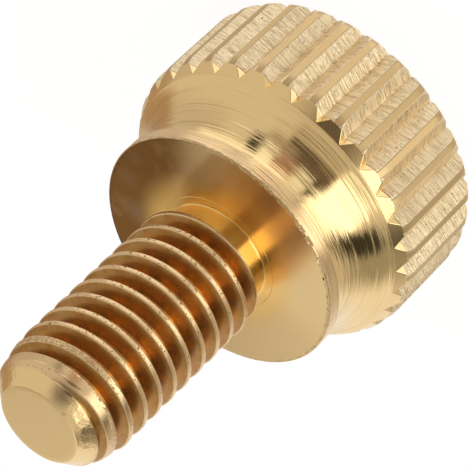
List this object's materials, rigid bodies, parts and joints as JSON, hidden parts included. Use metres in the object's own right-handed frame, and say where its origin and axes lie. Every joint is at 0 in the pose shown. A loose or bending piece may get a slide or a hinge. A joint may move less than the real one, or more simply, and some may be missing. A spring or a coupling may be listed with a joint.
{
  "type": "thumb screw",
  "caption": "Brass thumb screw turned in one piece: straight-knurled round head, waisted neck, thin flat collar and a short threaded shank with a bevelled end.",
  "frame": {"origin": "on the screw's axis, at the flat end of the head that it stands on", "axes": "+Z along the axis, from the flat end of the head to the threaded end; +X through the middle of one knurl tooth"},
  "size_m": [0.0118, 0.0118, 0.017],
  "materials": {
    "brass": "bright turned brass, knurl and thread as cut"
  },
  "bodies": {
    "root": {"thumb_screw": "brass"}
  },
  "joints": []
}
